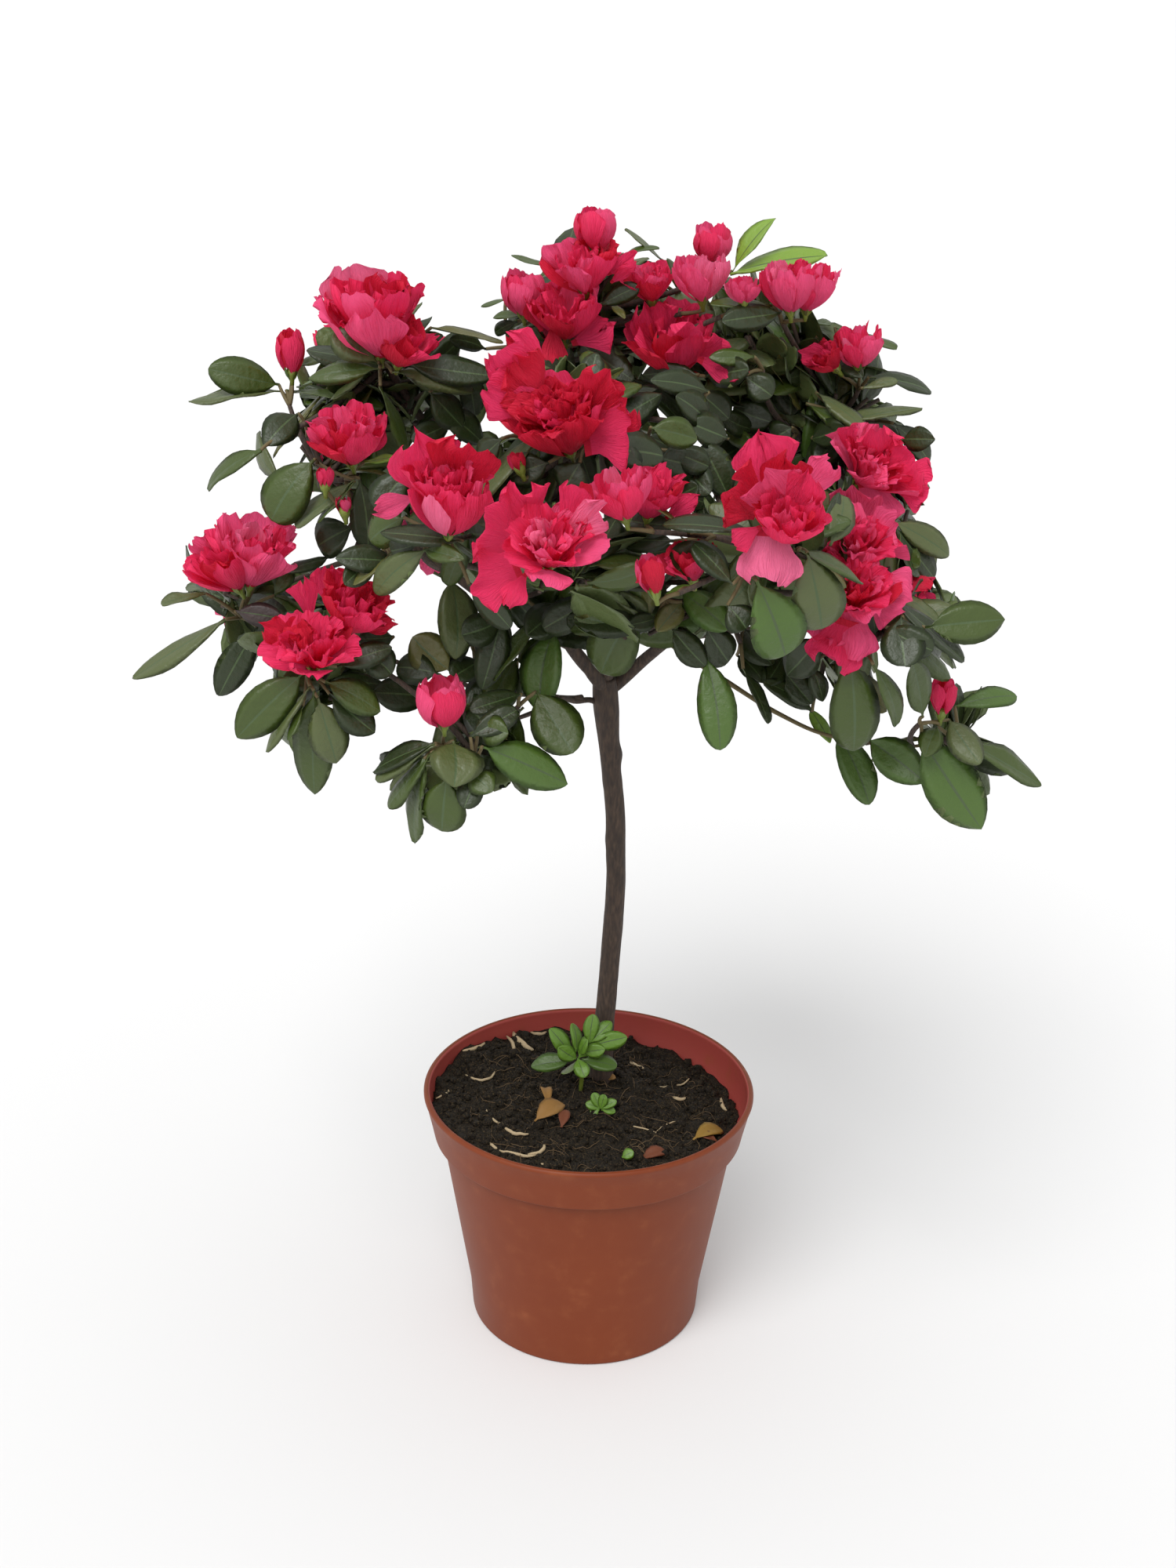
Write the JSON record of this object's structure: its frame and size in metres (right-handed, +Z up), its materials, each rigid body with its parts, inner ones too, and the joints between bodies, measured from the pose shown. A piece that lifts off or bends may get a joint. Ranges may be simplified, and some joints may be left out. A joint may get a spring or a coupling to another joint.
{
  "type": "potted azalea shrub",
  "caption": "Small standard azalea: a bare stem with a domed crown of dark leaves and ruffled rose-red flowers, in a tapered plastic pot of peat.",
  "frame": {"origin": "middle of the flat underside of the pot, on the surface it stands on", "axes": "+Z up along the pot's axis; -Y towards the side from which the crown is seen at its fullest; +X to the right seen from there, the side of the long low arm"},
  "size_m": [0.3356, 0.2952, 0.4626],
  "materials": {
    "pot": "satin terracotta-coloured plastic",
    "soil": "moist dark peat compost with fibres",
    "bark": "thin grey-brown bark",
    "foliage": "leathery dark green leaves with rose-red double flowers",
    "young_shoot": "fresh green young leaves"
  },
  "bodies": {
    "root": {"basal_sprout": "young_shoot", "basal_sprout_stem": "young_shoot", "bough_arm": "bark", "bough_back": "bark", "bough_back_left": "bark", "bough_back_middle": "bark", "bough_back_right": "bark", "bough_centre": "bark", "bough_far_left": "bark", "bough_left": "bark", "bough_low_back_left": "bark", "bough_low_back_right": "bark", "bough_low_left": "bark", "bough_lower_right": "bark", "bough_middle_left": "bark", "bough_right": "bark", "bough_side_left": "bark", "bough_side_right": "bark", "bough_top": "bark", "bough_upper_right": "bark", "foliage_back_left": "foliage", "foliage_back_low_left": "foliage", "foliage_back_low_right": "foliage", "foliage_back_middle": "foliage", "foliage_back_right": "foliage", "foliage_back_top": "foliage", "foliage_bottom_front": "foliage", "foliage_bottom_left": "foliage", "foliage_centre_front": "foliage", "foliage_centre_left": "foliage", "foliage_centre_upper": "foliage", "foliage_crown_top": "foliage", "foliage_crown_top_right": "foliage", "foliage_far_left": "foliage", "foliage_front_right": "foliage", "foliage_lower_left": "foliage", "foliage_lower_right": "foliage", "foliage_middle_left": "foliage", "foliage_middle_right": "foliage", "foliage_right_arm": "foliage", "foliage_side_left": "foliage", "foliage_side_right": "foliage", "foliage_upper_left": "foliage", "foliage_upper_right": "foliage", "pot": "pot", "soil": "soil", "stem": "bark"}
  },
  "joints": []
}
